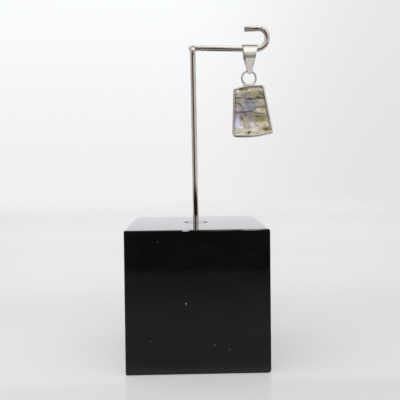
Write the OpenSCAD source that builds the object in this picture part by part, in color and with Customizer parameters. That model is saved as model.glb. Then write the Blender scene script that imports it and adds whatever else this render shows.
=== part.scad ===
// Gemstone pendant hanging from the wire hook of a small block stand.
// Millimetres, +Z up, origin at the centre of the block's underside, the drop's face towards -Y.

/* [Block] */
// Side of the square base block
block_side = 50.4; // [40:0.2:60]
// Height of the base block
block_h = 50; // [40:1:60]
// Chamfer along every edge of the block
block_chamfer = 0.4; // [0.2:0.1:1]
// Depth of the hole that holds the foot of the wire
socket_depth = 14; // [8:1:20]

/* [Wire hook] */
// Thickness of the wire
wire_d = 2.2; // [1.8:0.1:2.3]
// Height of the arm's centre line above the block, at its corner
arm_rise = 67.04; // [60:0.01:75]
// How far below the corner the wire starts to bulge outwards
bulge_below = 1.15; // [0.8:0.05:1.5]
// Length of that bulge, up to its blunt tip
bulge_len = 2.2; // [1.8:0.1:2.4]
// Lean of the post to the left, in degrees
post_lean = 0.4; // [0:0.1:0.8]
// Droop of the arm towards the hook, in degrees
arm_droop = 1.3; // [0:0.1:3]
// Length of the arm from the corner to the start of the hook's bend
arm_len = 24.3; // [23:0.1:30]
// Radius of the wide lower part of the hook's bend
hook_low_r = 4.3; // [4:0.1:6]
// Turn of the lower part of the bend, in degrees
hook_low_turn = 107; // [90:1:120]
// Radius of the tight upper part of the hook's bend
hook_top_r = 3.4; // [3:0.1:5]
// Turn of the upper part of the bend, in degrees
hook_top_turn = 77; // [60:1:90]
// Length of the straight end of the hook
hook_end = 5.3; // [2:0.1:6]

/* [Bail] */
// Distance along the arm from the corner to the middle of the bail
bail_along = 22; // [20:0.1:22]
// Gap between the top of the arm and the bail that rides on it
bail_gap = 0.1; // [0.1:0.01:0.2]
// Thickness of the bail's strip
bail_sheet = 0.45; // [0.35:0.01:0.5]
// Width of the strip over the arm
bail_crest_w = 6.1; // [4:0.1:7]
// Width of the strip at its tip
bail_tip_w = 1.7; // [1.2:0.1:2]
// Inside radius of the fold over the arm
bail_crest_r = 1.75; // [1.5:0.05:2]
// Inside radius of the fold that holds the ring
bail_eye_r = 0.67; // [0.66:0.01:0.7]
// Distance between the centres of the two folds
bail_drop = 7.93; // [7:0.01:10]

/* [Ring] */
// Mean diameter of the ring
ring_d = 5.4; // [5:0.1:6.5]
// Thickness of the ring's wire
ring_wire_d = 0.9; // [0.6:0.05:0.9]
// Offset of the ring's centre to the left of the bail's tip
ring_shift = 0.3; // [0:0.05:0.3]
// How far the ring's centre line stands above the swing axis at its top
ring_crown = 0.13; // [0.1:0.01:0.15]
// Height of the ring's centre line, at its foot, above the setting's peak
ring_stand = 0.1; // [0:0.05:0.4]
// Radius of each bead of solder at the ring's foot
solder_r = 0.62; // [0.5:0.01:0.7]
// Distance between the two beads of solder
solder_gap = 3.5; // [3:0.1:4]
// Radius of the run of solder between the two beads
solder_run_r = 0.5; // [0.4:0.01:0.55]

/* [Setting] */
// Width across the foot of the drop
foot_w = 16.2; // [14:0.05:18]
// Width across the top of the drop
top_w = 11.95; // [11:0.05:13]
// How far the left side leans in over its height
left_lean = 0.6; // [0:0.1:1]
// Height of the left side
left_h = 18.75; // [15:0.05:22]
// Rise of the foot from left to right
foot_rise = 1.3; // [0:0.1:2]
// Rise of the top from left to right
top_rise = 1.4; // [0:0.1:2.5]
// Bow of the foot below a straight line
foot_bow = 0.75; // [0.2:0.05:0.8]
// Height of the peak under the ring above a straight top
top_bow = 0.6; // [0.2:0.05:0.8]
// Distance of that peak from the left side of the foot
peak_x = 6.8; // [5:0.1:8]
// Thickness of the rim around the stone
rim_t = 0.4; // [0.3:0.05:0.6]
// How far the lip is pressed in over the stone on the left and at the top
lip_over = 0.3; // [0.2:0.05:0.4]
// How far the lip is pressed in along the foot
foot_lip = 0.7; // [0.3:0.05:0.7]
// How far the lip is pressed in on the right
right_lip = 0.6; // [0.3:0.05:0.6]
// Depth of the lip, front to back
lip_t = 0.3; // [0.2:0.05:0.35]
// Depth of the setting, front to back
setting_depth = 3.4; // [3:0.1:4.5]
// Thickness of the plate behind the stone
plate_t = 0.5; // [0.3:0.05:0.8]
// How far the plate's back stands behind the ring
plate_back = 1.55; // [1:0.05:2]

/* [Stone] */
// How far the table stands in front of the rim
table_proud = 0.3; // [0.2:0.05:0.6]
// Width of the left facets
bevel_left = 2.2; // [1.5:0.1:2.5]
// Width of the top facets
bevel_top = 2.1; // [1.5:0.1:2.5]
// Width of the right facets
bevel_right = 1.5; // [1.2:0.1:2.5]
// Width of the foot facets
bevel_foot = 1.8; // [1.5:0.1:2.5]
// Depth of the girdle behind the rim's front
girdle_depth = 0.9; // [0.9:0.05:1.2]
// Cut across each corner of the girdle, as a share of the setting's corner radius
corner_share = 0.7; // [0.68:0.01:0.8]
// Cut across each corner of the table
table_cut = 1.6; // [1:0.1:2]

/* [Hidden] */

round_fn = 64;
corner_steps = 8;
seat_gap = 0.05;
// How far a cutting solid reaches past what it cuts
overcut = 1;
// Height of the girdle's straight wall, and how much the stone narrows behind it
girdle_h = 0.6;
girdle_taper = 0.2;
// Rise of the solder above the setting's peak, and of its right bead above its left one, halved
solder_up = 0.2;
solder_tilt = 0.12;
fold_step = 15;
ball_proud = 0.004;
bulge_heading = 127;
bulge_tip_r = 0.45;
bulge_slack = 0.1;

wire_r = wire_d / 2;
corner = post_at(block_h + arm_rise);
arm_end = along(corner, -arm_droop, arm_len);
low_centre = along(arm_end, 90 - arm_droop, hook_low_r);
top_turned = hook_low_turn - 90 - arm_droop;
bend_join = along(low_centre, top_turned, hook_low_r);
top_centre = along(low_centre, top_turned, hook_low_r - hook_top_r);
hook_heading = hook_low_turn + hook_top_turn - arm_droop;
hook_start = along(top_centre, hook_heading - 90, hook_top_r);
hook_tip = along(hook_start, hook_heading, hook_end);

bail_seat = along(corner, -arm_droop, bail_along);
crest_centre = along(bail_seat, 90 - arm_droop, wire_r + bail_gap - bail_crest_r);
eye_centre = along(crest_centre, -90 - arm_droop, bail_drop);
fold_tilt = asin((bail_crest_r - bail_eye_r) / bail_drop);

ring_r = ring_d / 2;
ring_centre = [eye_centre[0] - ring_shift, eye_centre[1] + ring_crown - ring_r];
ring_foot = ring_centre[1] - ring_r;
rim_front = plate_back - setting_depth;
plate_front = plate_back - plate_t;

top_middle = [ring_centre[0], ring_foot - ring_stand];
lower_left = top_middle - [peak_x, peak_h()];
lower_right = lower_left + [foot_w, foot_rise];
upper_left = lower_left + [left_lean, left_h];
upper_right = upper_left + [top_w, top_rise];
foot_middle = (lower_left + lower_right) / 2 - [0, foot_bow];

// The drop's outline, anticlockwise from the lower left, and the radius of each of its corners
face = [lower_left, foot_middle, lower_right, upper_right, top_middle, upper_left];
face_radius = [2, 5, 1.6, 1.4, 4, 1.5];
bevels = [bevel_foot, bevel_foot, bevel_right, bevel_top, bevel_top, bevel_left];
lips = [foot_lip, foot_lip, right_lip, lip_over, lip_over, lip_over];
is_corner = [true, false, true, true, false, true];

girdle_y = rim_front + girdle_depth;
table_y = rim_front - table_proud;
stone_back_y = plate_front - seat_gap;

// Point at a distance and heading from another, in the X-Z plane
function along(from, heading, distance) = from + distance * [cos(heading), sin(heading)];
// Point on the post's centre line at a height
function post_at(z) = [-(z - block_h) * tan(post_lean), z];
// Height of the peak under the ring above the lower left corner
function peak_h() = left_h + top_rise * (peak_x - left_lean) / top_w + top_bow;
function unit(v) = v / norm(v);
function heading_of(v) = atan2(v[1], v[0]);
function back_one(list, i) = list[(i + len(list) - 1) % len(list)];
function next_one(list, i) = list[(i + 1) % len(list)];
function crossing(p, u, q, v) = p + u * cross(q - p, v) / cross(u, v);

// Outline moved inwards by its own distance along each side
function inset_by(points, distances) = [
    for (i = [0:len(points) - 1])
        let (
            u = unit(points[i] - back_one(points, i)),
            v = unit(next_one(points, i) - points[i]),
            p = points[i] + back_one(distances, i) * [-u[1], u[0]],
            q = points[i] + distances[i] * [-v[1], v[0]]
        ) crossing(p, u, q, v)
];
function inset(points, distance) = inset_by(points, [for (p = points) distance]);

// Outline whose corners are rounded with arcs
function rounded(points, radii) = [
    for (i = [0:len(points) - 1])
        let (
            u = unit(back_one(points, i) - points[i]),
            v = unit(next_one(points, i) - points[i]),
            half = acos(u * v) / 2,
            centre = points[i] + unit(u + v) * radii[i] / sin(half),
            first = heading_of(points[i] + u * radii[i] / tan(half) - centre),
            turn = 180 - 2 * half
        )
            for (k = [0:corner_steps]) along(centre, first + turn * k / corner_steps, radii[i])
];

// Outline whose true corners are cut straight across, while its bends stay single points
function cornered(points, cuts) = [
    for (i = [0:len(points) - 1])
        let (
            u = unit(back_one(points, i) - points[i]),
            v = unit(next_one(points, i) - points[i])
        )
            each is_corner[i] ? [points[i] + u * cuts[i], points[i] + v * cuts[i]] : [points[i]]
];

// Half width of the bail's strip at a distance along it from the crest
function strip_half(s) =
    let (length = bail_drop * cos(fold_tilt) + arc_len(90 + fold_tilt))
        (bail_crest_w - (bail_crest_w - bail_tip_w) * s / length) / 2;
function arc_len(a) = (bail_crest_r + bail_sheet) * a * PI / 180;

// Straight stretch of wire between two points
module wire_run(from, to) {
    in_plane(from, heading_of(to - from)) cylinder(h = norm(to - from), r = wire_r, $fn = round_fn);
}

// Ball that closes the wire where two stretches meet
module wire_ball(point) {
    translate([point[0], 0, point[1]]) sphere(r = wire_r + ball_proud, $fn = round_fn);
}

// Bulge with a blunt tip that the sharp bend pulls out of the wire's outer side
module corner_bulge() {
    in_plane(post_at(corner[1] - bulge_below), bulge_heading)
        cylinder(h = bulge_len, r1 = wire_r - bulge_slack, r2 = bulge_tip_r, $fn = round_fn);
}

// Puts +Z along a heading in the X-Z plane
module in_plane(point, heading) {
    translate([point[0], 0, point[1]]) rotate([0, 90 - heading, 0]) children();
}

// Bend of the wire about a centre in the X-Z plane
module wire_bend(centre, first, turn, radius) {
    translate([centre[0], 0, centre[1]]) rotate([90, 0, 0]) rotate([0, 0, first])
        rotate_extrude(angle = turn, $fn = round_fn) translate([radius, 0]) circle(r = wire_r);
}

// Slab with an outline in the X-Z plane, between two depths
module slab(outline, y_back, y_front) {
    translate([0, y_back, 0]) rotate([90, 0, 0]) linear_extrude(y_back - y_front) polygon(outline);
}

// Two round folds and the straight legs between them, seen along the arm
module fold_profile(crest_r, eye_r) {
    side = [cos(fold_tilt), -sin(fold_tilt)];
    mirrored = [-side[0], side[1]];
    eye = [0, -bail_drop];
    circle(r = crest_r, $fn = round_fn);
    translate(eye) circle(r = eye_r, $fn = round_fn);
    polygon([side * crest_r, mirrored * crest_r, eye + mirrored * eye_r, eye + side * eye_r]);
}

// Front view of the bail's strip: wide over the arm, narrow and round at the tip
module strip_front() {
    outer = bail_crest_r + bail_sheet;
    right = concat(
        [[strip_half(0), outer + overcut]],
        [for (a = [0:fold_step:90]) [strip_half(arc_len(a)), outer * cos(a)]],
        [for (a = [0:fold_step:90])
            [bail_tip_w / 2 * cos(a), -bail_drop - (bail_eye_r + bail_sheet) * sin(a)]]
    );
    polygon(concat(right, [for (i = [len(right) - 2:-1:0]) [-right[i][0], right[i][1]]]));
}

module block() {
    mouth = post_at(block_h + overcut);
    color("black") difference() {
        intersection() {
            linear_extrude(block_h) chamfered_square(block_side, block_side);
            translate([0, block_side / 2, block_h / 2]) rotate([90, 0, 0])
                linear_extrude(block_side) chamfered_square(block_side, block_h);
            translate([-block_side / 2, 0, block_h / 2]) rotate([90, 0, 90])
                linear_extrude(block_side) chamfered_square(block_side, block_h);
        }
        in_plane(mouth, heading_of(post_at(block_h) - mouth))
            cylinder(h = socket_depth + overcut, r = wire_r + seat_gap, $fn = round_fn);
    }
}

// Rectangle with its corners cut off
module chamfered_square(w, h) {
    x = w / 2;
    y = h / 2;
    c = block_chamfer;
    polygon([
        [c - x, -y], [x - c, -y], [x, c - y], [x, y - c],
        [x - c, y], [c - x, y], [-x, y - c], [-x, c - y]
    ]);
}

module wire_hook() {
    foot = post_at(block_h - socket_depth + seat_gap);
    color("silver") {
        wire_run(foot, corner);
        wire_run(corner, arm_end);
        wire_bend(low_centre, -90 - arm_droop, hook_low_turn, hook_low_r);
        wire_bend(top_centre, top_turned, hook_top_turn, hook_top_r);
        wire_run(hook_start, hook_tip);
        for (point = [corner, arm_end, bend_join, hook_start]) wire_ball(point);
        corner_bulge();
    }
}

module bail() {
    color("lightgray") translate([crest_centre[0], 0, crest_centre[1]]) rotate([0, arm_droop, 0])
        intersection() {
            rotate([90, 0, 90]) translate([0, 0, -bail_crest_w])
                linear_extrude(2 * bail_crest_w) difference() {
                    fold_profile(bail_crest_r + bail_sheet, bail_eye_r + bail_sheet);
                    fold_profile(bail_crest_r, bail_eye_r);
                }
            translate([0, 2 * bail_crest_r, 0]) rotate([90, 0, 0])
                linear_extrude(4 * bail_crest_r) strip_front();
        }
}

module setting() {
    inside = rounded(inset(face, rim_t), [for (r = face_radius) r - rim_t]);
    over = [for (lip = lips) rim_t + lip];
    mouth = rounded(
        inset_by(face, over),
        [for (i = [0:len(face) - 1]) face_radius[i] - (back_one(over, i) + over[i]) / 2]
    );
    beads = [for (side = [-1, 1]) solder_at(side)];
    color("gainsboro") difference() {
        union() {
            slab(rounded(face, face_radius), plate_back, rim_front);
            translate([ring_centre[0], 0, ring_centre[1]]) rotate([90, 0, 0])
                rotate_extrude($fn = round_fn) translate([ring_r, 0]) circle(r = ring_wire_d / 2);
            for (bead = beads) translate([bead[0], 0, bead[1]]) sphere(r = solder_r, $fn = round_fn);
            in_plane(beads[0], heading_of(beads[1] - beads[0]))
                cylinder(h = norm(beads[1] - beads[0]), r = solder_run_r, $fn = round_fn);
        }
        slab(inside, plate_front, rim_front + lip_t);
        slab(mouth, plate_front, rim_front - overcut);
    }
}

// Middle of the bead of solder on one side of the ring's foot
function solder_at(side) =
    top_middle + [side * solder_gap / 2, solder_up + side * solder_tilt];

module stone() {
    cuts = [for (r = face_radius) corner_share * r];
    girdle = cornered(inset(face, rim_t + seat_gap), cuts);
    table = cornered(inset_by(face, bevels + [for (p = face) rim_t]), [for (p = face) table_cut]);
    base = cornered(inset(face, rim_t + seat_gap + girdle_taper), cuts);
    n = len(girdle);
    rings = [table, girdle, girdle, base];
    depths = [table_y, girdle_y, girdle_y + girdle_h, stone_back_y];
    points = [for (i = [0:3]) for (p = rings[i]) [p[0], depths[i], p[1]]];
    sides = [
        for (i = [0:2]) for (k = [0:n - 1])
            [i * n + k, i * n + n + k, i * n + n + (k + 1) % n, i * n + (k + 1) % n]
    ];
    color("darkseagreen")
        polyhedron(points, concat([[for (k = [0:n - 1]) k]], sides, [[for (k = [n - 1:-1:0]) 3 * n + k]]));
}

block();
wire_hook();
bail();
setting();
stone();
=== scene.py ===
# Gemstone pendant on the wire hook of a block stand: the finished pieces around the packed solids.
# Meshes are made in millimetres and written in metres, in the frame of the packed model.

import math
from types import SimpleNamespace

import bmesh
import bpy
from bpy.props import FloatProperty, FloatVectorProperty, PointerProperty
from mathutils import Matrix, Vector


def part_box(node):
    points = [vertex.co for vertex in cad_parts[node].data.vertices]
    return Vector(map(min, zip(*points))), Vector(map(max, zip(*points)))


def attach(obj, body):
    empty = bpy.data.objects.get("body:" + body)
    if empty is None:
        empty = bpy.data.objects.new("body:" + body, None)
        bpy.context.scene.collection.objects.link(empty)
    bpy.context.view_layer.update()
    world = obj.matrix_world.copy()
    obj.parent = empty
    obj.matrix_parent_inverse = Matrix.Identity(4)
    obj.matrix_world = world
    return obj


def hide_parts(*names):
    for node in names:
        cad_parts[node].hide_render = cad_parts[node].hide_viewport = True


bl_info = {
    "name": "Gemstone pendant on a block stand",
    "version": (1, 0, 0),
    "blender": (4, 5, 0),
    "location": "3D View > Sidebar > Pendant",
    "description": "Builds a stone pendant in a silver setting and the block stand that holds it",
    "category": "Add Mesh",
}

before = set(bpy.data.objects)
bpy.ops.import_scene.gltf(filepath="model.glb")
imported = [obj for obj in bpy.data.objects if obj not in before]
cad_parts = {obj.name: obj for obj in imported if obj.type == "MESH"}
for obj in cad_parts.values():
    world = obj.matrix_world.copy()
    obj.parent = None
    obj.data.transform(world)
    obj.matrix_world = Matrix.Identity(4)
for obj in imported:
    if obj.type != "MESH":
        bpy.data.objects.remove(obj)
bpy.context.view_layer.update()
BLOCK_LOW, BLOCK_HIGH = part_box("block")

MM = 0.001
# Edges sharper than this stay sharp
CREASE = math.radians(50)
# A size in millimetres along which a pattern doesn't change
DEEP = 1000


def length(name, description, mm):
    """A size property whose default is given in millimetres."""
    return FloatProperty(
        name=name, description=description, default=mm * MM, min=0, precision=5, unit="LENGTH"
    )


def turn(name, description, degrees):
    """An angle property whose default is given in degrees."""
    return FloatProperty(
        name=name, description=description, default=math.radians(degrees), subtype="ANGLE"
    )


def linear(*levels):
    """A linear colour from display levels between 0 and 255."""
    shares = [level / 255 for level in levels]
    return [s / 12.92 if s <= 0.04045 else ((s + 0.055) / 1.055) ** 2.4 for s in shares]


def colour(name, description, *levels):
    """A colour property whose default is given as display levels."""
    return FloatVectorProperty(
        name=name, description=description, default=linear(*levels), size=3, min=0, max=1,
        subtype="COLOR",
    )


# Sizes and colours that can be changed in the sidebar


class BlockSizes(bpy.types.PropertyGroup):
    """Sizes of the base block."""

    side: length("Side", "Side of the square block", (BLOCK_HIGH.x - BLOCK_LOW.x) / MM)
    height: length("Height", "Height of the block", BLOCK_HIGH.z / MM)
    edge: length("Edge", "Rounding of every edge", 0.45)
    hole_depth: length("Hole depth", "Depth of the hole that holds the wire", 14)
    hole_room: length("Hole room", "Gap between the wire and its hole", 0.05)


class WireSizes(bpy.types.PropertyGroup):
    """Sizes of the bent wire."""

    thickness: length("Thickness", "Thickness of the wire", 2.2)
    arm_rise: length("Arm rise", "Height of the arm's centre line above the block", 67.04)
    arm_length: length("Arm length", "Arm from the corner to the hook's bend", 24.3)
    low_radius: length("Low radius", "Radius of the wide lower bend of the hook", 4.3)
    top_radius: length("Top radius", "Radius of the tight upper bend of the hook", 3.4)
    end_length: length("End length", "Straight end of the hook", 5.3)
    bulge: length("Bulge", "How far the sharp corner is squeezed outwards", 1.0)
    lean: turn("Lean", "Lean of the post to the left", 0.4)
    droop: turn("Droop", "Droop of the arm towards the hook", 1.3)
    low_turn: turn("Low turn", "Turn of the lower bend", 107)
    top_turn: turn("Top turn", "Turn of the upper bend", 77)


class BailSizes(bpy.types.PropertyGroup):
    """Sizes of the folded strip that rides on the arm."""

    along: length("Along", "Distance along the arm from the corner", 22)
    room: length("Room", "Gap above the arm", 0.1)
    sheet: length("Sheet", "Thickness of the strip", 0.45)
    crest_width: length("Crest width", "Width of the strip over the arm", 6.1)
    tip_width: length("Tip width", "Width of the strip at its tip", 1.7)
    crest_radius: length("Crest radius", "Inside radius of the fold over the arm", 1.75)
    eye_radius: length("Eye radius", "Inside radius of the fold around the ring", 0.67)
    drop: length("Drop", "Distance between the centres of the two folds", 7.93)


class RingSizes(bpy.types.PropertyGroup):
    """Sizes of the soldered ring."""

    across: length("Across", "Mean diameter of the ring", 5.4)
    thickness: length("Thickness", "Thickness of the ring's wire", 0.9)
    shift: length("Shift", "Offset of the ring to the left of the bail's tip", 0.3)
    crown: length("Crown", "Height of the ring's centre line above the swing axis", 0.13)
    stand: length("Stand", "Height of the ring's centre line above the setting's peak", 0.1)
    bead: length("Bead", "Radius of each bead of solder", 0.62)
    bead_gap: length("Bead gap", "Distance between the two beads", 3.5)


class SettingSizes(bpy.types.PropertyGroup):
    """Sizes of the silver setting."""

    foot_width: length("Foot width", "Width across the foot", 16.2)
    top_width: length("Top width", "Width across the top", 11.95)
    left_height: length("Left height", "Height of the left side", 18.75)
    left_lean: length("Left lean", "How far the left side leans in", 0.6)
    foot_rise: length("Foot rise", "Rise of the foot from left to right", 1.3)
    top_rise: length("Top rise", "Rise of the top from left to right", 1.4)
    foot_bow: length("Foot bow", "Bow of the foot below a straight line", 0.75)
    top_bow: length("Top bow", "Height of the peak above a straight top", 0.6)
    peak: length("Peak", "Distance of the peak from the left end of the foot", 6.8)
    rim: length("Rim", "Thickness of the wall around the stone", 0.4)
    lip: length("Lip", "How far the lip is pressed in on the left and at the top", 0.3)
    foot_lip: length("Foot lip", "How far the lip is pressed in along the foot", 0.7)
    right_lip: length("Right lip", "How far the lip is pressed in on the right", 0.6)
    depth: length("Depth", "Depth of the setting, front to back", 3.4)
    back: length("Back", "How far the back plate stands behind the ring", 1.55)
    plate: length("Plate", "Thickness of the back plate", 0.5)


class StoneSizes(bpy.types.PropertyGroup):
    """Sizes of the cut stone."""

    proud: length("Proud", "How far the table stands in front of the rim", 0.3)
    left: length("Left facets", "Width of the facets on the left", 2.2)
    top: length("Top facets", "Width of the facets along the top", 2.1)
    right: length("Right facets", "Width of the facets on the right", 1.5)
    foot: length("Foot facets", "Width of the facets along the foot", 1.8)
    corner: FloatProperty(
        name="Corner cut", description="Cut across each corner, as a share of its radius",
        default=0.7, min=0, max=1,
    )
    table_corner: length("Table corner", "Cut across each corner of the table", 1.6)
    girdle: length("Girdle", "Depth of the girdle behind the rim's front", 0.9)
    gap: length("Gap", "Gap between the stone and the silver", 0.05)


class FinishColours(bpy.types.PropertyGroup):
    """Colours of the finishes."""

    acrylic: colour("Acrylic", "The black of the block", 12, 12, 13)
    # Also the colour of the painted highlights along the block's top edge
    dust: colour("Dust", "Specks of dust on the block", 168, 170, 172)
    chrome: colour("Chrome", "The chrome of the wire", 218, 212, 206)
    silver: colour("Silver", "The polished silver of the setting", 237, 234, 229)
    satin: colour("Satin silver", "The satin silver of the bail", 248, 244, 235)
    tarnish: colour("Tarnish", "Darker silver in hollows and scratches", 172, 168, 163)
    # The colour of the painted shade on the silver
    shadow: colour("Shadow", "The darkest tarnish of the silver", 98, 84, 74)
    # The colour of the painted highlights on the silver
    rubbed: colour("Rubbed", "Bright lines where the silver is rubbed", 255, 253, 247)
    stone: colour("Stone", "The body of the stone", 158, 150, 134)
    olive: colour("Olive", "The olive depths of the stone", 146, 138, 100)
    fern: colour("Fern", "The yellow green depths of the stone", 146, 138, 82)
    moss: colour("Moss", "The pale green patches of the stone", 160, 160, 126)
    teal: colour("Teal", "The green blue streak of the stone", 116, 136, 128)
    slate: colour("Slate", "The slate blue flash of the stone", 130, 137, 150)
    sky: colour("Sky", "The pale blue flash of the stone", 196, 200, 219)
    lavender: colour("Lavender", "The lavender flash of the stone", 210, 200, 213)
    rose: colour("Rose", "The rose grey of the stone", 178, 168, 173)
    mauve: colour("Mauve", "The brown grey of the stone", 142, 130, 122)
    mist: colour("Mist", "The grey white of the stone", 184, 181, 172)
    cream: colour("Cream", "The pale bands of the stone", 208, 199, 177)
    umber: colour("Umber", "The brown in the cracks of the stone", 74, 65, 54)
    ink: colour("Ink", "The blue black in the cracks of the stone", 72, 68, 82)
    jet: colour("Jet", "The black speck in the stone", 26, 23, 18)


class StageSettings(bpy.types.PropertyGroup):
    """The camera, the floor and the light."""

    lens: FloatProperty(
        name="Lens", description="Focal length in millimetres", default=51.37, min=1
    )
    rise: FloatProperty(
        name="Shift", description="Vertical shift of the picture", default=-0.0542
    )
    camera: FloatVectorProperty(
        name="Camera", description="Place of the camera", size=3, subtype="XYZ", unit="LENGTH",
        default=(-0.00333, -0.22025, 0.07263),
    )
    yaw: turn("Yaw", "Turn of the camera to the right", 1.324)
    pitch: turn("Pitch", "Tilt of the camera upwards", -1.453)
    roll: turn("Roll", "Roll of the camera", -0.639)
    floor: colour("Floor", "The pale floor", 173, 172, 171)
    # The floor darker towards the right is painted shade
    floor_right: colour("Floor right", "The floor towards the right", 168, 167, 166)
    left: colour("Left backdrop", "The top of the backdrop on the left", 252, 254, 255)
    left_low: colour("Low left", "The foot of the backdrop on the left", 239, 240, 242)
    right: colour("Right backdrop", "The top of the backdrop on the right", 231, 233, 235)
    right_low: colour("Low right", "The foot of the backdrop on the right", 227, 227, 229)
    dark: colour("Dark side", "The dark room in front of the block", 34, 30, 28)
    warmth: colour("Warmth", "The tint of the room", 255, 252, 248)
    back: colour("Back wall", "The wall behind the pendant, in reflections", 251, 252, 255)


GROUPS = {
    "pendant_block": BlockSizes,
    "pendant_wire": WireSizes,
    "pendant_bail": BailSizes,
    "pendant_ring": RingSizes,
    "pendant_setting": SettingSizes,
    "pendant_stone": StoneSizes,
    "pendant_colours": FinishColours,
    "pendant_stage": StageSettings,
}


def in_mm(group):
    """A group's values with its lengths in millimetres."""
    units = {p.identifier: p.unit for p in group.bl_rna.properties}
    values = {name: getattr(group, name) for name in group.__annotations__}
    return SimpleNamespace(
        **{n: v / MM if units[n] == "LENGTH" else v for n, v in values.items()}
    )


def sizes(scene, *names):
    return [in_mm(getattr(scene, "pendant_" + name)) for name in names]


# Shader nodes written as expressions


class Sock:
    """A socket of a shader node, to calculate with as if it were a number."""

    def __init__(self, shader, socket):
        self.shader = shader
        self.socket = socket

    def __add__(self, other):
        return self.shader.math("ADD", self, other)

    def __sub__(self, other):
        return self.shader.math("SUBTRACT", self, other)

    def __mul__(self, other):
        return self.shader.math("MULTIPLY", self, other)

    def __truediv__(self, other):
        return self.shader.math("DIVIDE", self, other)

    def __rsub__(self, other):
        return self.shader.math("SUBTRACT", other, self)

    def __abs__(self):
        return self.shader.math("ABSOLUTE", self)

    __radd__ = __add__
    __rmul__ = __mul__


class Shader:
    """Writes the nodes of one material or world."""

    def __init__(self, tree):
        self.tree = tree
        tree.nodes.clear()

    def add(self, kind, settings=None, sockets=None, out=0):
        """Adds a node, gives it its settings, then its sockets, and returns one output if any."""
        node = self.tree.nodes.new("ShaderNode" + kind)
        for name, value in (settings or {}).items():
            if name == "stops":
                self.set_stops(node.color_ramp, value)
            else:
                setattr(node, name, value)
        for name, value in (sockets or {}).items():
            socket = self.find(node.inputs, name)
            if isinstance(value, Sock):
                self.tree.links.new(value.socket, socket)
            else:
                socket.default_value = value
        return Sock(self, self.find(node.outputs, out)) if node.outputs else None

    @staticmethod
    def find(sockets, name):
        if isinstance(name, int):
            return sockets[name]
        return next(s for s in sockets if s.name.lower() == name.lower() and s.enabled)

    @staticmethod
    def set_stops(ramp, stops):
        while len(ramp.elements) < len(stops):
            ramp.elements.new(1)
        for element, (place, shade) in zip(ramp.elements, stops):
            element.position = place
            element.color = (*shade, 1)

    def math(self, operation, a, b=0.0):
        return self.add("Math", {"operation": operation}, {0: a, 1: b})

    def vector(self, operation, a, b=(0, 0, 0), out="Vector"):
        return self.add("VectorMath", {"operation": operation}, {0: a, 1: b}, out)

    def scaled(self, vector, amount):
        """A vector or a colour times a number."""
        return self.add("VectorMath", {"operation": "SCALE"}, {0: vector, "Scale": amount})

    def place(self):
        """Object coordinates in millimetres."""
        return self.scaled(self.add("TexCoord", out="Object"), 1 / MM)

    def split(self, vector):
        node = self.add("SeparateXYZ", sockets={0: vector}).socket.node
        return [Sock(self, output) for output in node.outputs]

    def stretch(self, vector, scale, turned=(0, 0, 0), centre=(0, 0, 0)):
        """Coordinates around a centre, turned by degrees and divided by a size along each axis."""
        return self.add(
            "Mapping",
            {"vector_type": "TEXTURE"},
            {
                "Vector": vector, "Location": centre, "Scale": scale,
                "Rotation": [math.radians(angle) for angle in turned],
            },
        )

    def reach(self, vector, x, z, wide, tall, turned):
        """Distance from a point in the X-Z plane, in half widths and half heights.

        A Mapping node for each of many marks would be too much for one material, so only
        the turned ones have it.
        """
        if turned:
            near = self.stretch(vector, (wide, DEEP, tall), (0, -turned, 0), (x, 0, z))
        else:
            near = self.add(
                "VectorMath",
                {"operation": "MULTIPLY_ADD"},
                {0: vector, 1: (1 / wide, 0, 1 / tall), 2: (-x / wide, 0, -z / tall)},
            )
        return self.vector("LENGTH", near, out="Value")

    def from_centre(self, vector, centre, size):
        """Distance from a centre, in sizes along each axis."""
        return self.vector("LENGTH", self.stretch(vector, size, centre=centre), out="Value")

    def noise(self, vector, scale, detail, roughness=0.5, out=0):
        return self.add(
            "TexNoise",
            sockets={"Vector": vector, "Scale": scale, "Detail": detail, "Roughness": roughness},
            out=out,
        )

    def grain(self, vector, size, detail, roughness=0.5, turned=(0, 0, 0)):
        """Noise with a grain size along each axis, turned by degrees."""
        return self.noise(self.stretch(vector, size, turned), 1.0, detail, roughness)

    def fade(self, value, start, end, low=0.0, high=1.0):
        """A smooth change from low to high while a value goes from start to end."""
        return self.add(
            "MapRange",
            {"interpolation_type": "SMOOTHSTEP"},
            {"Value": value, 1: start, 2: end, 3: low, 4: high},
        )

    def steps(self, value, changes):
        """Adds up smooth changes, each with its start, its end and how much it adds."""
        first, *others = (self.fade(value, start, end, 0, by) for start, end, by in changes)
        return sum(others, first)

    def mix(self, share, a, b):
        a, b = ((*c, 1) if not isinstance(c, Sock) else c for c in (a, b))
        return self.add(
            "Mix", {"data_type": "RGBA"}, {"Factor": share, "A": a, "B": b}, "Result"
        )

    def bump(self, height, strength):
        """A normal from a height in millimetres."""
        return self.add("Bump", sockets={"Height": height, "Strength": strength, "Distance": MM})

    def surface(self, **sockets):
        """Ends a material in one principled surface, whose sockets are named in small letters."""
        named = {name.replace("_", " ").title(): value for name, value in sockets.items()}
        self.end("OutputMaterial", self.add("BsdfPrincipled", sockets=named))

    def end(self, kind, shader):
        self.add(kind, sockets={"Surface": shader})


def new_material(name):
    material = bpy.data.materials.new(name)
    material.use_nodes = True
    return material, Shader(material.node_tree)


# Shapes shared by the pieces


def heading(angle):
    """The direction in the X-Z plane at an angle from +X towards +Z."""
    return Vector((math.cos(angle), 0, math.sin(angle)))


def fresh_edges(bm, known):
    return [edge for edge in bm.edges if edge not in known]


def verts_of(edges):
    return list({vert for edge in edges for vert in edge.verts})


def edges_in(geom):
    return [item for item in geom if isinstance(item, bmesh.types.BMEdge)]


def circle(bm, segments, radius, matrix):
    """A loop of edges round the origin of a matrix."""
    known = set(bm.edges)
    bmesh.ops.create_circle(
        bm, cap_ends=False, segments=segments, radius=radius, matrix=matrix
    )
    return fresh_edges(bm, known)


def cap(bm, edges):
    """Fills each closed loop of edges with a face."""
    bmesh.ops.holes_fill(bm, edges=edges, sides=0)


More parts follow.
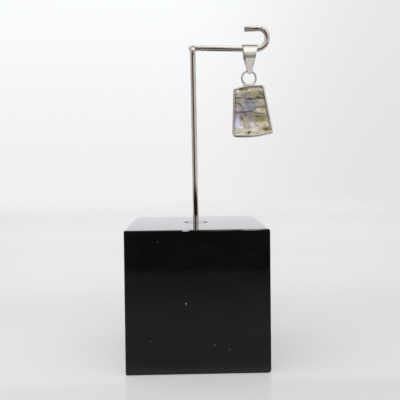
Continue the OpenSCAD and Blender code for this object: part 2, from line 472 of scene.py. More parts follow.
def fit(bm, size, move):
    """Scales everything and then moves it."""
    bmesh.ops.scale(bm, verts=bm.verts, vec=size)
    bmesh.ops.translate(bm, verts=bm.verts, vec=move)


def push(bm, edges, move):
    """Extrudes a loop of edges by a vector and returns its far end."""
    made = bmesh.ops.extrude_edge_only(bm, edges=edges)["geom"]
    verts = {item for item in made if isinstance(item, bmesh.types.BMVert)}
    bmesh.ops.translate(bm, verts=list(verts), vec=move)
    return [edge for edge in edges_in(made) if set(edge.verts) <= verts]


def swing(bm, edges, centre, axis, angle, steps, merge=False):
    """Spins a loop of edges about an axis and returns its far end."""
    last = bmesh.ops.spin(
        bm, geom=edges + verts_of(edges), cent=centre, axis=axis, angle=angle, steps=steps,
        use_merge=merge, use_duplicate=False,
    )["geom_last"]
    return edges_in(last)


def soften(bm, edges, offset, segments=2):
    """Rounds edges."""
    bmesh.ops.bevel(
        bm, geom=edges, offset=offset, offset_type="OFFSET", segments=segments, profile=0.5,
        affect="EDGES", material=-1, clamp_overlap=True,
    )


def inset(corners, distances):
    """An outline whose sides are moved inwards, each by its own distance."""
    moved = []
    count = len(corners)
    for i, corner in enumerate(corners):
        before, after = corners[i - 1], corners[(i + 1) % count]
        u = (corner - before).normalized()
        v = (after - corner).normalized()
        p = corner + distances[i - 1] * Vector((-u.y, u.x))
        q = corner + distances[i] * Vector((-v.y, v.x))
        moved.append(p + u * (q - p).cross(v) / u.cross(v))
    return moved


def half_corner(corners, i):
    """Half of the angle between the two sides that meet at a corner."""
    u = corners[i - 1] - corners[i]
    v = corners[(i + 1) % len(corners)] - corners[i]
    return u.angle(v) / 2


def outline(bm, corners, cuts, y, segments):
    """A closed loop of edges in a plane across Y, with each corner cut back by its own length."""
    known = set(bm.edges)
    verts = [bm.verts.new((corner.x, y, corner.y)) for corner in corners]
    bm.faces.new(verts)
    for vert, cut in zip(verts, cuts):
        if cut:
            bmesh.ops.bevel(
                bm, geom=[vert], offset=cut, offset_type="OFFSET", segments=segments,
                profile=0.5, affect="VERTICES", material=-1,
            )
    edges = fresh_edges(bm, known)
    faces = list({face for edge in edges for face in edge.link_faces})
    bmesh.ops.delete(bm, geom=faces, context="FACES_ONLY")
    return edges


def close_up(bm, dist=0.0005):
    """Merges what meets and turns the faces outwards."""
    bmesh.ops.remove_doubles(bm, verts=bm.verts, dist=dist)
    bmesh.ops.recalc_face_normals(bm, faces=bm.faces)


def write_object(bm, name, material):
    """Makes an object, in metres, in place of an older one of its name."""
    bmesh.ops.scale(bm, verts=bm.verts, vec=(MM, MM, MM))
    old = bpy.data.objects.get(name)
    if old:
        bpy.data.objects.remove(old)
    mesh = bpy.data.meshes.new(name)
    bm.to_mesh(mesh)
    bm.free()
    mesh.materials.append(material)
    made = bpy.data.objects.new(name, mesh)
    bpy.context.scene.collection.objects.link(made)
    return made


def write_piece(bm, name, material, body, node):
    """Makes a finished piece and lets it stand for its CAD node."""
    close_up(bm)
    for face in bm.faces:
        face.smooth = True
    for edge in bm.edges:
        edge.smooth = edge.calc_face_angle(0) < CREASE
    piece = write_object(bm, name, material)
    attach(piece, body)
    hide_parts(node)
    return piece


def weigh_normals(piece):
    """Keeps wide faces flat beside their rounded edges."""
    piece.modifiers.new("flat_faces", "WEIGHTED_NORMAL").keep_sharp = True


# Places that several pieces share, in millimetres


def places(scene):
    """The corner of the wire, the folds of the bail, the ring and the outline of the drop."""
    block, wire, bail, ring, size = sizes(scene, "block", "wire", "bail", "ring", "setting")
    up, out = math.pi / 2 + wire.lean, -wire.droop
    top = Vector((0, 0, block.height))
    corner = top + heading(up) * wire.arm_rise / math.cos(wire.lean)
    crest = (
        corner
        + heading(out) * bail.along
        + heading(out + math.pi / 2) * (wire.thickness / 2 + bail.room - bail.crest_radius)
    )
    eye = crest + heading(out - math.pi / 2) * bail.drop
    radius = ring.across / 2
    centre = eye + Vector((-ring.shift, 0, ring.crown - radius))
    peak = Vector((centre.x, centre.z - radius - ring.stand))
    peak_height = (
        size.left_height
        + size.top_rise * (size.peak - size.left_lean) / size.top_width
        + size.top_bow
    )
    low_left = peak - Vector((size.peak, peak_height))
    low_right = low_left + Vector((size.foot_width, size.foot_rise))
    top_left = low_left + Vector((size.left_lean, size.left_height))
    top_right = top_left + Vector((size.top_width, size.top_rise))
    foot = (low_left + low_right) / 2 - Vector((0, size.foot_bow))
    return SimpleNamespace(
        up=up, out=out, top=top, corner=corner, crest=crest, eye=eye, ring=centre,
        face=[low_left, foot, low_right, top_right, peak, top_left],
    )


# Finishes


def lighter(shade, amount):
    """A colour times a number, worked out before it reaches a node."""
    return [min(1, level * amount) for level in shade]


# The block's front, where its dust lies
FRONT = -25
# Specks of dust on the block's front, and painted highlights along its top edge where the
# rounded edge catches the light: x, z, half width and half height in millimetres and strength
DUST = [
    (-4.1, 24.6, 0.24, 0.24, 1.0),
    (-4.1, 24.0, 0.16, 0.16, 0.12),
    (-13.5, 46.1, 0.3, 0.3, 0.09),
    (-16.2, 11.8, 0.3, 0.3, 0.16),
    (5.7, 10.2, 0.34, 0.34, 0.18),
    (10.7, 8.6, 0.34, 0.34, 0.14),
    # The last three are painted highlights along the top front edge
    (-4.0, 49.75, 1.6, 0.3, 1.0),
    (18.8, 49.75, 4.6, 0.22, 0.5),
    (7.5, 49.7, 7.5, 0.25, 0.12),
]
# Dust all over: size of the cells that hold one speck each, its size and its strength
DUST_CELL, DUST_SIZE, DUST_STRENGTH = 6.25, (0.16, 0.09), 0.16
# The dull ring round the post: centre, radius, and its half width and fade in shares of that
RING_CENTRE, RING_RADIUS, RING_EDGE = (0, 1, 50), 4.1, (0.24, 0.1)


def acrylic_finish(colours):
    """Polished black acrylic with fine scratches, dust, painted edge highlights and a dull ring
    round the post.
    """
    material, s = new_material("polished_black_acrylic")
    at = s.place()
    haze = s.grain(at, (9, 9, 6), 4)
    cells = s.add(
        "TexVoronoi", {"feature": "F1"}, {"Vector": at, "Scale": 1 / DUST_CELL}, "Distance"
    )
    specks = s.fade(cells * DUST_CELL, *DUST_SIZE) * DUST_STRENGTH
    for x, z, half_width, half_height, strength in DUST:
        gap = s.from_centre(at, (x, FRONT, z), (half_width, 1.5, half_height))
        specks = specks + s.fade(gap, 1.0, 0.6) * strength
    scratches = s.fade(s.grain(at, (0.25, 0.25, 14), 2, turned=(0, 24, 0)), 0.66, 0.74)
    from_post = s.from_centre(at, RING_CENTRE, (RING_RADIUS,) * 3)
    dull = s.fade(abs(from_post - 1), *RING_EDGE)
    body = s.mix(s.fade(haze, 0.35, 0.7), colours.acrylic, lighter(colours.acrylic, 1.5))
    s.surface(
        # Dust specks and the painted highlights on the top edge, in the dust colour
        base_color=s.mix(specks, body, colours.dust),
        roughness=0.035 + haze * 0.03 + scratches * 0.03 + dull * 0.32 + specks * 0.4,
        ior=1.4,
        normal=s.bump(scratches * 0.002 + s.noise(at, 0.5, 2) * 0.004, 0.35),
    )
    return material


def chrome_finish(colours, spots):
    """Chrome on bent wire: bright, with dents, ridges and flats at its bends and end."""
    material, s = new_material("bent_chrome_wire")
    at = s.place()
    _, _, z = s.split(at)
    dented = ridged = lean = 0.0
    for centre, reach, dents, ridges, tilt in spots:
        near = s.fade(s.from_centre(at, centre, (reach,) * 3), 1.0, 0.35)
        dented = near * dents + dented
        ridged = near * ridges + ridged
        lean = near * (centre.z - z) * tilt + lean
    dent = s.grain(at, (1.1, 1.1, 1.1), 1.5) * dented
    ridge = s.grain(at, (0.55, 2.5, 2.5), 1.0) * ridged
    cloud = s.grain(at, (1.5, 1.5, 5), 3)
    s.surface(
        base_color=s.mix(s.fade(cloud, 0.3, 0.75), colours.chrome, lighter(colours.chrome, 0.86)),
        metallic=1.0,
        roughness=0.03 + cloud * 0.02 + dented * 0.05,
        normal=s.bump(dent * 0.55 + ridge * 0.5 + lean + s.noise(at, 6.0, 2) * 0.006, 0.6),
    )
    return material


def silver_finish(colours, name, shade, roughness, brush, metal, wear):
    """Hand finished silver with fine brush lines, faint tarnish, tiny pits, and the painted shade
    and painted highlights that each piece gives it.
    """
    material, s = new_material(name)
    at = s.place()
    brushed = s.grain(at, brush, 3)
    pits = s.fade(s.noise(at, 5.0, 2), 0.62, 0.72)
    tarnish = s.fade(s.noise(at, 0.8, 4), 0.45, 0.8) * 0.5 + pits * 0.4
    # Shares of painted shade and of painted highlight, given by the piece
    dark, light = wear(s, at)
    body = s.mix(dark, s.mix(tarnish, shade, colours.tarnish), colours.shadow)
    s.surface(
        base_color=s.mix(light, body, colours.rubbed),
        metallic=metal - light * 0.55,
        roughness=roughness + brushed * 0.12 + pits * 0.1,
        normal=s.bump(brushed * 0.03 + s.noise(at, 1.6, 2) * 0.12 - pits * 0.01, 0.5),
    )
    return material


# Marks in the stone, each over the one before: colour, how much lighter or darker than it, centre
# to the right of and above the low left corner, half width and half height in millimetres, and
# where they aren't 0 and 0.6, turn in degrees and softness
MARKS = [
    ("cream", 0.78, 9.2, 18.5, 2.4, 1.0), ("mist", 1.2, 11.7, 18.1, 1.0, 0.6),
    ("umber", 1.9, 8.6, 19.6, 1.8, 0.35), ("olive", 0.9, 5.4, 18.4, 1.1, 0.6),
    ("moss", 0.75, 3.9, 18.2, 0.6, 0.5), ("umber", 0.7, 3.3, 18.4, 0.6, 0.28, 0, 0.5),
    ("umber", 0.9, 1.2, 18.0, 0.3, 0.25, 0, 0.5), ("mist", 1.2, 1.9, 17.6, 1.0, 0.7),
    ("mist", 1.0, 2.0, 15.8, 0.8, 0.45), ("mauve", 0.95, 1.95, 16.6, 0.28, 0.4, 20, 0.6),
    ("umber", 1.0, 0.95, 15.75, 0.35, 0.35), ("cream", 0.9, 2.9, 17.0, 0.5, 0.7),
    ("cream", 0.92, 5.0, 17.3, 1.7, 0.2), ("cream", 1.12, 6.8, 17.85, 0.5, 0.28, -35, 0.5),
    ("olive", 1.14, 8.6, 16.8, 1.7, 0.8), ("olive", 0.86, 5.2, 16.7, 0.6, 0.28),
    ("olive", 0.86, 6.9, 16.8, 0.3, 0.5, 0, 0.7), ("olive", 0.68, 10.8, 16.7, 0.5, 0.9),
    ("olive", 0.84, 11.7, 16.2, 0.7, 1.9, 0, 0.7), ("mauve", 1.04, 5.8, 15.7, 2.8, 0.7),
    ("mauve", 1.14, 7.2, 15.35, 0.9, 0.3), ("olive", 0.72, 9.8, 15.5, 0.4, 0.5, 0, 0.7),
    ("cream", 0.76, 10.8, 15.8, 0.6, 0.25), ("moss", 1.0, 2.1, 14.25, 1.2, 0.5),
    ("umber", 1.1, 0.9, 13.9, 0.25, 0.6), ("mauve", 0.9, 1.5, 13.3, 0.7, 0.3, -10, 0.7),
    ("mist", 0.94, 4.2, 13.6, 1.0, 1.1), ("lavender", 0.8, 4.8, 12.5, 1.2, 0.7, -10, 0.6),
    ("slate", 1.0, 6.2, 13.3, 1.6, 0.9), ("mist", 0.8, 8.0, 13.6, 1.2, 0.7),
    ("slate", 0.84, 5.7, 13.2, 0.22, 1.2, 24, 0.7), ("mist", 0.92, 7.6, 12.5, 1.1, 0.3, 0, 0.7),
    ("slate", 0.9, 8.0, 13.0, 0.3, 0.4, 0, 0.7), ("mist", 0.86, 9.8, 13.5, 0.9, 0.9),
    ("cream", 0.94, 11.2, 13.6, 0.8, 1.1), ("olive", 0.9, 11.2, 13.0, 0.12, 0.9, 14, 0.7),
    ("cream", 0.88, 10.4, 12.4, 2.2, 0.4), ("slate", 1.02, 6.9, 11.6, 2.0, 0.8),
    ("sky", 0.79, 5.1, 11.0, 0.9, 1.0), ("slate", 1.04, 8.2, 11.4, 1.1, 0.5),
    ("slate", 0.84, 8.5, 10.9, 0.5, 0.4, 30, 0.7), ("teal", 0.96, 10.0, 11.4, 1.0, 0.45, 0, 0.7),
    ("moss", 0.76, 11.8, 11.6, 1.1, 0.35, 0, 0.7), ("mist", 0.92, 1.3, 12.0, 0.3, 0.7, 0, 0.7),
    ("rose", 1.0, 2.6, 10.9, 1.4, 0.9), ("mauve", 1.1, 4.0, 10.9, 0.7, 0.6, -30, 0.7),
    ("rose", 0.84, 7.4, 10.5, 1.0, 0.3, 0, 0.7), ("cream", 1.03, 10.6, 10.2, 1.6, 0.7),
    ("cream", 0.96, 12.4, 10.2, 0.7, 0.9, 10, 0.6), ("olive", 1.2, 11.5, 10.6, 0.2, 0.7, 16, 0.7),
    ("rose", 0.92, 2.4, 8.7, 1.9, 0.7), ("slate", 0.86, 5.4, 8.4, 1.3, 0.5),
    ("mauve", 1.04, 7.2, 8.3, 1.7, 0.9), ("rose", 0.86, 6.9, 6.9, 1.2, 0.7, -10, 0.6),
    ("sky", 0.97, 2.0, 5.8, 0.9, 2.1, 0, 0.5), ("sky", 0.94, 2.3, 4.2, 1.0, 0.9),
    ("lavender", 0.98, 3.3, 3.6, 0.9, 0.7), ("mauve", 0.94, 3.5, 7.5, 0.6, 0.7, 20, 0.7),
    ("umber", 1.1, 3.85, 7.0, 0.4, 0.35, -10, 0.6), ("moss", 1.0, 5.5, 6.2, 0.6, 0.65),
    ("rose", 1.14, 3.6, 5.5, 0.4, 0.4), ("lavender", 0.94, 7.0, 5.5, 0.6, 0.35, -20, 0.6),
    ("lavender", 0.92, 7.8, 4.6, 0.7, 1.1, 20, 0.7), ("mauve", 0.95, 4.7, 4.0, 0.28, 0.6, 0, 0.7),
    ("mauve", 1.0, 6.2, 3.4, 0.28, 0.45, -10, 0.7), ("cream", 1.0, 9.7, 5.3, 0.8, 0.32),
    ("mauve", 1.12, 9.7, 4.6, 0.8, 0.3), ("cream", 0.98, 8.6, 2.9, 1.6, 0.8),
    ("rose", 1.04, 9.2, 3.3, 0.5, 0.35), ("olive", 1.0, 9.3, 6.7, 1.4, 0.7, 0, 0.7),
    ("fern", 0.92, 11.4, 8.0, 1.8, 0.5), ("olive", 0.66, 9.8, 7.9, 0.8, 0.32),
    ("fern", 0.94, 11.3, 6.6, 1.5, 1.0, 0, 0.7), ("moss", 1.0, 13.0, 6.3, 0.8, 1.1, 10, 0.6),
    ("moss", 1.12, 12.4, 5.2, 1.3, 0.6), ("cream", 0.9, 10.8, 4.9, 0.6, 0.4),
    ("cream", 0.92, 13.7, 4.6, 0.6, 0.5), ("fern", 0.7, 12.8, 3.1, 1.6, 0.7),
    ("fern", 0.92, 13.6, 2.5, 0.8, 0.3), ("moss", 0.96, 11.0, 3.0, 0.7, 0.8, 0, 0.7),
    ("mist", 0.98, 3.6, 2.5, 3.2, 0.7), ("moss", 1.14, 1.2, 2.3, 0.5, 0.9),
    ("jet", 1.0, 6.5, 1.8, 0.55, 0.32, 24, 0.4),
]
# Cracks in the stone, from left to right: distance along, height, half thickness in millimetres
# and how dark they are
CRACKS = [
    ("umber", [
        (0.4, 15.0, 0.24, 0.55), (2.7, 15.05, 0.34, 0.75), (4.0, 14.95, 0.22, 0.5),
        (5.5, 14.75, 0.32, 0.75), (7.0, 14.55, 0.46, 1.0), (8.5, 14.7, 0.28, 0.75),
        (9.6, 14.95, 0.4, 0.95), (10.8, 14.95, 0.42, 0.95), (12.2, 14.8, 0.3, 0.6),
    ]),
    ("ink", [
        (0.3, 9.3, 0.4, 0.4), (2.2, 9.5, 0.46, 0.55), (4.2, 9.5, 0.5, 0.82),
        (5.4, 9.65, 0.36, 0.85), (6.4, 9.8, 0.3, 0.6), (7.2, 9.85, 0.3, 0.0),
    ]),
    ("umber", [
        (6.0, 9.75, 0.28, 0.0), (7.0, 9.85, 0.32, 0.9), (8.1, 9.6, 0.22, 0.6),
        (9.3, 9.25, 0.2, 0.75), (10.5, 8.98, 0.22, 0.75), (12.2, 8.8, 0.18, 0.35),
        (13.4, 8.75, 0.15, 0.0),
    ]),
    ("umber", [
        (1.2, 13.7, 0.14, 0.1), (2.5, 13.0, 0.26, 0.8), (3.5, 12.2, 0.34, 0.95),
        (4.2, 11.5, 0.2, 0.55), (5.0, 11.0, 0.15, 0.4), (5.8, 10.4, 0.12, 0.0),
    ]),
]
# What a crack's distances are divided by, so that they fit a ramp
LONGEST = 20


def stone_finish(colours, low_left):
    """Feldspar with a play of colour: olive depths, lavender and blue flashes, dark cracks."""
    material, s = new_material("iridescent_feldspar")
    at = s.place()
    drift = s.vector("SUBTRACT", s.noise(at, 0.8, 4, 0.6, out="Color"), (0.5, 0.5, 0.5))
    drift = s.scaled(drift, 1.5)
    bent = s.vector("ADD", at, drift)
    cloud = s.noise(s.stretch(bent, (1.6, 1, 0.8)), 0.7, 4)
    deep, pale = (lighter(colours.stone, amount) for amount in (0.86, 1.2))
    body = s.mix(s.fade(cloud, 0.35, 0.65), deep, pale)
    for tone, level, right, up, wide, tall, *more in MARKS:
        turned, soft = more or (0, 0.6)
        gap = s.reach(bent, low_left.x + right, low_left.y + up, wide, tall, turned)
        tint = lighter(getattr(colours, tone), level ** 2.2)
        body = s.mix(s.fade(gap, 1 + soft, 1 - soft), body, tint)
    streaks = s.grain(bent, (2.4, 0.6, 0.3), 4, 0.6, (0, 5, 0))
    slant = s.grain(bent, (0.25, 0.6, 1.6), 3, turned=(0, -32, 0))
    grain = s.noise(at, 2.6, 4, 0.6)
    x, _, z = s.split(bent)
    up = z - low_left.y
    # Painted light in the last three factors: lighter towards the foot, where the facets face
    # down, along the seam in the lip's shade at the foot, and near the top
    body = s.scaled(
        body,
        s.fade(streaks, 0.3, 0.7, 0.84, 1.14)
        * s.fade(slant, 0.3, 0.7, 0.92, 1.07)
        * s.fade(grain, 0.3, 0.7, 0.86, 1.11)
        * s.fade(up, 7.4, 4.4, 1.0, 1.45)
        * s.fade(up - (x - low_left.x) * 0.08, 1.9, 0.9, 1.0, 1.6)
        * s.fade(up, 17.0, 18.2, 1.0, 1.16),
    )
    x, _, z = s.split(s.vector("ADD", at, s.scaled(drift, 0.5)))
    along = (x - low_left.x) / LONGEST
    height = (z - low_left.y) / LONGEST
    for tone, stops in CRACKS:
        stops = [
            (step / LONGEST, (rise / LONGEST, thick / LONGEST, dark))
            for step, rise, thick, dark in stops
        ]
        rise, thick, dark = s.split(s.add("ValToRGB", {"stops": stops}, {0: along}))
        gap = abs(height - rise) / thick
        body = s.mix(s.fade(gap, 1.5, 0.3) * dark, body, getattr(colours, tone))
    s.surface(
        base_color=body,
        roughness=0.16 + grain * 0.12,
        ior=1.56,
        normal=s.bump(grain * 0.02 + streaks * 0.03, 0.4),
    )
    return material


# The light that the table gives off: at the front, and what it loses from there to the back,
# each with the stretch of y in millimetres
GLOW, GLOW_LOSS = 0.32, ((-40, 100, 0.13), (100, 320, 0.105), (320, 560, 0.07))


def floor_finish(stage, reach):
    """A pale, slightly glossy table that fades out at its far edge."""
    material, s = new_material("pale_table")
    at = s.place()
    x, y, _ = s.split(at)
    cloud = s.noise(at, 0.006, 2)
    # Painted shade: the floor darker towards the right, where less light falls
    body = s.mix(s.fade(x, -100, 160), stage.floor, stage.floor_right)
    body = s.scaled(body, s.fade(cloud, 0.3, 0.7, 0.985, 1.0))
    glow = GLOW - s.steps(y, GLOW_LOSS)
    s.surface(
        base_color=body,
        emission_color=s.scaled(body, glow / stage.floor[0]),
        emission_strength=1.0,
        roughness=0.16 + cloud * 0.04,
        ior=1.45,
        alpha=s.fade(s.vector("LENGTH", at, out="Value"), reach, reach * 0.55),
        normal=s.bump(s.noise(at, 0.8, 2) * 0.01, 0.2),
    )
    return material


# Pieces


class PENDANT_OT_block(bpy.types.Operator):
    """Make the polished block with rounded edges and the hole for the wire"""

    bl_idname = "pendant.block"
    bl_label = "Block"
    bl_options = {"REGISTER", "UNDO"}

    # The edges that run from front to back: side, height and radius in millimetres
    CORNERS = ((-1, 0, 0.6), (-1, 1, 0.45), (1, 0, 1.15), (1, 1, 0.75))
    # Steps round those, round the edges of the front and the back, and round the hole
    CORNER_STEPS, EDGE_STEPS, ROUND = 5, 4, 48

    @staticmethod
    def middle(edge):
        return (edge.verts[0].co + edge.verts[1].co) / 2

    def execute(self, context):
        scene = context.scene
        size, wire = sizes(scene, "block", "wire")
        bm = bmesh.new()
        bmesh.ops.create_cube(bm, size=1)
        fit(bm, (size.side, size.side, size.height), (0, 0, size.height / 2))
        for side, height, radius in self.CORNERS:
            corner = Vector((side * size.side / 2, 0, height * size.height))
            along = min(bm.edges, key=lambda edge: (self.middle(edge) - corner).length)
            soften(bm, [along], radius, self.CORNER_STEPS)
        ends = [edge for edge in bm.edges if abs(self.middle(edge).y) > size.side * 0.499]
        soften(bm, ends, size.edge, self.EDGE_STEPS)
        top = max(bm.faces, key=lambda face: face.calc_center_median().z)
        rim = top.edges[:]
        bmesh.ops.delete(bm, geom=[top], context="FACES_ONLY")
        at = Matrix.Translation((0, 0, size.height))
        mouth = circle(bm, self.ROUND, wire.thickness / 2 + size.hole_room, at)
        bmesh.ops.triangle_fill(bm, use_beauty=True, use_dissolve=False, edges=rim + mouth)
        down = -heading(math.pi / 2 + wire.lean) * size.hole_depth
        cap(bm, push(bm, mouth, down))
        finish = acrylic_finish(scene.pendant_colours)
        weigh_normals(write_piece(bm, "acrylic_block", finish, "stand", "block"))
        return {"FINISHED"}


class PENDANT_OT_wire(bpy.types.Operator):
    """Bend the wire into its post, sharp corner, arm and hook"""

    bl_idname = "pendant.wire"
    bl_label = "Wire hook"
    bl_options = {"REGISTER", "UNDO"}

    ROUND = 36
    # Radius of the sharp corner's centre line, and steps round it and round the hook's two bends
    CORNER_RADIUS = 1.25
    CORNER_STEPS, LOW_STEPS, TOP_STEPS = 18, 24, 18
    # Share of the post just under the corner that is drawn out with it
    NECK = 0.03
    # Where the corner's blunt tip points, and how fast it falls off below and above that
    PEAK = math.radians(151)
    SPREADS = (math.radians(29), math.radians(18))
    # Rounding of the hook's cut end
    BURR = 0.12

    def execute(self, context):
        scene = context.scene
        size, block = sizes(scene, "wire", "block")
        at = places(scene)
        post, arm = heading(at.up), heading(at.out)
        radius = size.thickness / 2
        foot = at.top - post * (block.hole_depth - block.hole_room)
        sweep = at.up - at.out
        before = self.CORNER_RADIUS * math.tan(sweep / 2)
        start = at.corner - post * before
        pivot = start + heading(at.up - math.pi / 2) * self.CORNER_RADIUS
        axis = (0, -1, 0)

        bm = bmesh.new()
        place = Matrix.Translation(foot) @ Matrix.Rotation(math.pi / 2 - at.up, 4, "Y")
        first = circle(bm, self.ROUND, radius, place)
        end = push(bm, first, (start - foot) * (1 - self.NECK))
        end = push(bm, end, (start - foot) * self.NECK)
        known = set(bm.verts) - set(verts_of(end))
        end = swing(bm, end, pivot, axis, -sweep, self.CORNER_STEPS)
        self.squeeze(set(bm.verts) - known, pivot, radius, size.bulge)
        end = push(bm, end, arm * (size.arm_length - before))
        low = at.corner + arm * size.arm_length + heading(at.out + math.pi / 2) * size.low_radius
        end = swing(bm, end, low, axis, size.low_turn, self.LOW_STEPS)
        turned = at.out - math.pi / 2 + size.low_turn
        high = low + heading(turned) * (size.low_radius - size.top_radius)
        end = swing(bm, end, high, axis, size.top_turn, self.TOP_STEPS)
        last = at.out + size.low_turn + size.top_turn
        end = push(bm, end, heading(last) * size.end_length)
        cap(bm, first + end)
        soften(bm, end, self.BURR)

        def on_top(back):
            """A point of the hook's upper bend, by the angle back from its end."""
            return high + heading(last - math.pi / 2 - back) * size.top_radius

        # Worked spots: centre, reach, and how dented, how ridged and how tilted they are
        spots = [
            (at.corner + arm * 2.2, 5.0, 1.0, 0.3, 0.0),
            (at.corner + Vector((0.1, -radius, -0.5)), 1.3, 0.0, 0.0, 0.8),
            (at.corner + arm * 7, 8.0, 0.0, 0.0, -0.1),
            (at.corner + arm * 19, 8.0, 0.0, 0.0, 0.08),
            (on_top(0) + heading(last) * size.end_length, 4.0, 1.0, 1.0, -0.7),
            (on_top(0.3), 3.2, 1.0, 0.9, 0.0),
        ]
        finish = chrome_finish(scene.pendant_colours, spots)
        write_piece(bm, "chrome_wire", finish, "stand", "wire_hook")
        return {"FINISHED"}

    def squeeze(self, verts, pivot, radius, bulge):
        """Pushes the outer side of the sharp bend outwards to a blunt tip."""
        for vert in verts:
            arm = vert.co - pivot
            reach = math.hypot(arm.x, arm.z)
            outer = (reach - self.CORNER_RADIUS) / radius
            if outer > 0:
                off = math.atan2(arm.z, arm.x) - self.PEAK
                spread = self.SPREADS[0] if off < 0 else self.SPREADS[1]
                more = bulge * outer**1.5 * math.exp(-((off / spread) ** 2))
                vert.co += Vector((arm.x, 0, arm.z)) * more / reach


class PENDANT_OT_bail(bpy.types.Operator):
    """Fold the tapered silver strip over the arm and around the ring"""

    bl_idname = "pendant.bail"
    bl_label = "Bail"
    bl_options = {"REGISTER", "UNDO"}

    # The strip curves over the arm, slopes down to a crease and hangs from there in two legs
    ROOF = math.radians(66)
    SLOPE, BEND, BOW = 1.9, 0.5, 0.15
    # Parts across the strip, and rows along each stretch of it
    ACROSS, ROOF_ROWS, SLOPE_ROWS, BEND_ROWS, LEG_ROWS, EYE_ROWS = 8, 10, 3, 6, 14, 9
    # How much wider the left half is half way down, how fast the strip narrows round the eye,
    # the rounding of its edges, and how sharp an edge must be to be rounded
    SWELL, TAPER, ROUNDING, SHARP = 0.14, 1.3, 0.09, math.radians(60)
    # Darker lines along the legs' edges in shares of the half width, a faint warm painted
    # reflection on the legs, and painted shade across the crease and the crest in millimetres
    # below the crest's
    # centre: where each starts, is full, and its strength
    EDGE_WEAR, LEG_TONE, LEG = ((-0.9, -1.12, 0.4), (0.74, 1.0, 0.4)), 0.05, (0.6, 1.4)
    CREASE_AT, CREASE_WEAR = 2.7, ((0.95, 0.25, 0.64),)
    CREST_WEAR = ((-1.15, -1.55, 0.42), (-0.5, -1.15, 0.4))

    def execute(self, context):
        scene = context.scene
        (size,) = sizes(scene, "bail")
        at = places(scene)
        shoulder = Matrix.Rotation(self.ROOF, 3, "X")
        bottom = shoulder @ Vector((0, -self.SLOPE, size.crest_radius))
        crease = bottom - shoulder @ Vector((0, 0, self.BEND))
        eye = Vector((0, 0, -size.drop))
        span = eye - crease
        step_in = size.eye_radius - self.BEND
        lean = math.acos(step_in / span.length) - math.atan2(-span.z, span.y)
        leg = math.sqrt(span.length**2 - step_in**2)
        down = Vector((0, math.sin(lean), -math.cos(lean)))
        out = Vector((0, -math.cos(lean), -math.sin(lean)))
        bend = math.pi / 2 - self.ROOF + lean

        bm = bmesh.new()
        line = [
            bm.verts.new((x * 2 / self.ACROSS - 1, 0, size.crest_radius))
            for x in range(self.ACROSS + 1)
        ]
        rows = [[bm.edges.new(pair) for pair in zip(line, line[1:])]]
        for _ in range(self.ROOF_ROWS):
            rows.append(self.curl(bm, rows[-1], Vector(), self.ROOF / self.ROOF_ROWS))
        for _ in range(self.SLOPE_ROWS):
            step = shoulder @ Vector((0, -self.SLOPE / self.SLOPE_ROWS, 0))
            rows.append(push(bm, rows[-1], step))
        for _ in range(self.BEND_ROWS):
            rows.append(self.curl(bm, rows[-1], crease, bend / self.BEND_ROWS))
        for _ in range(self.LEG_ROWS):
            rows.append(push(bm, rows[-1], down * leg / self.LEG_ROWS))
        for i, row in enumerate(rows[-self.LEG_ROWS - 1 :]):
            sway = out * self.BOW * math.sin(math.pi * i / self.LEG_ROWS)
            bmesh.ops.translate(bm, verts=verts_of(row), vec=sway)
        heights = [verts_of(row)[0].co.copy() for row in rows]
        runs = [0]
        for one, other in zip(heights, heights[1:]):
            runs.append(runs[-1] + (other - one).yz.length)
        for row, run in zip(rows, runs):
            share = run / runs[-1]
            width = size.crest_width - (size.crest_width - size.tip_width) * share
            self.widen(bm, row, width / 2)
            for vert in verts_of(row):
                if vert.co.x < 0:
                    vert.co.x *= 1 + self.SWELL * math.sin(math.pi * share) ** 2
        edge = rows[-1]
        for i in range(self.EYE_ROWS):
            edge = self.curl(bm, edge, eye, (math.pi / 2 - lean) / self.EYE_ROWS)
            before, after = (math.cos(n / self.EYE_ROWS * self.TAPER) for n in (i, i + 1))
            self.widen(bm, edge, after / before)
        bmesh.ops.mirror(
            bm, geom=bm.verts[:] + bm.edges[:] + bm.faces[:], axis="Y", merge_dist=0.001
        )
        close_up(bm)
        bmesh.ops.solidify(bm, geom=bm.faces[:], thickness=-size.sheet)
        rims = [edge for edge in bm.edges if edge.calc_face_angle(0) > self.SHARP]
        soften(bm, rims, self.ROUNDING)
        place = Matrix.Translation(at.crest) @ Matrix.Rotation(-at.out, 4, "Y")
        bmesh.ops.transform(bm, matrix=place, verts=bm.verts)
        slant = (size.crest_width - size.tip_width) / 2 / (size.drop + size.crest_radius + 1)

        def wear(s, place):
            """Painted shade in the crease and on the crest, darker lines along the strip's edges
            and a warm painted reflection on the legs.
            """
            x, _, z = s.split(place)
            below = at.crest.z - z
            middle = at.crest.x - below * ((at.crest.x - at.eye.x) / size.drop)
            across = (x - middle) / ((size.drop - below) * slant + size.tip_width / 2)
            # Darker along the legs' edges, with a faint warm painted reflection over the legs
            legs = (s.steps(across, self.EDGE_WEAR) + self.LEG_TONE) * s.fade(below, *self.LEG)
            # Painted shade across the crease and on the crest, darkest at the crest's top
            crease = s.steps(abs(below - self.CREASE_AT), self.CREASE_WEAR)
            return legs + crease + s.steps(below, self.CREST_WEAR), 0.0

        colours = scene.pendant_colours
        finish = silver_finish(
            colours, "satin_silver", colours.satin, 0.4, (3.0, 3.0, 0.12), 0.35, wear
        )
        write_piece(bm, "silver_bail", finish, "stand", "bail")
        return {"FINISHED"}

    @staticmethod
    def curl(bm, edges, centre, angle):
        return swing(bm, edges, centre, (1, 0, 0), angle, 1)

    @staticmethod
    def widen(bm, edges, times):
        bmesh.ops.scale(bm, verts=verts_of(edges), vec=(times, 1, 1))


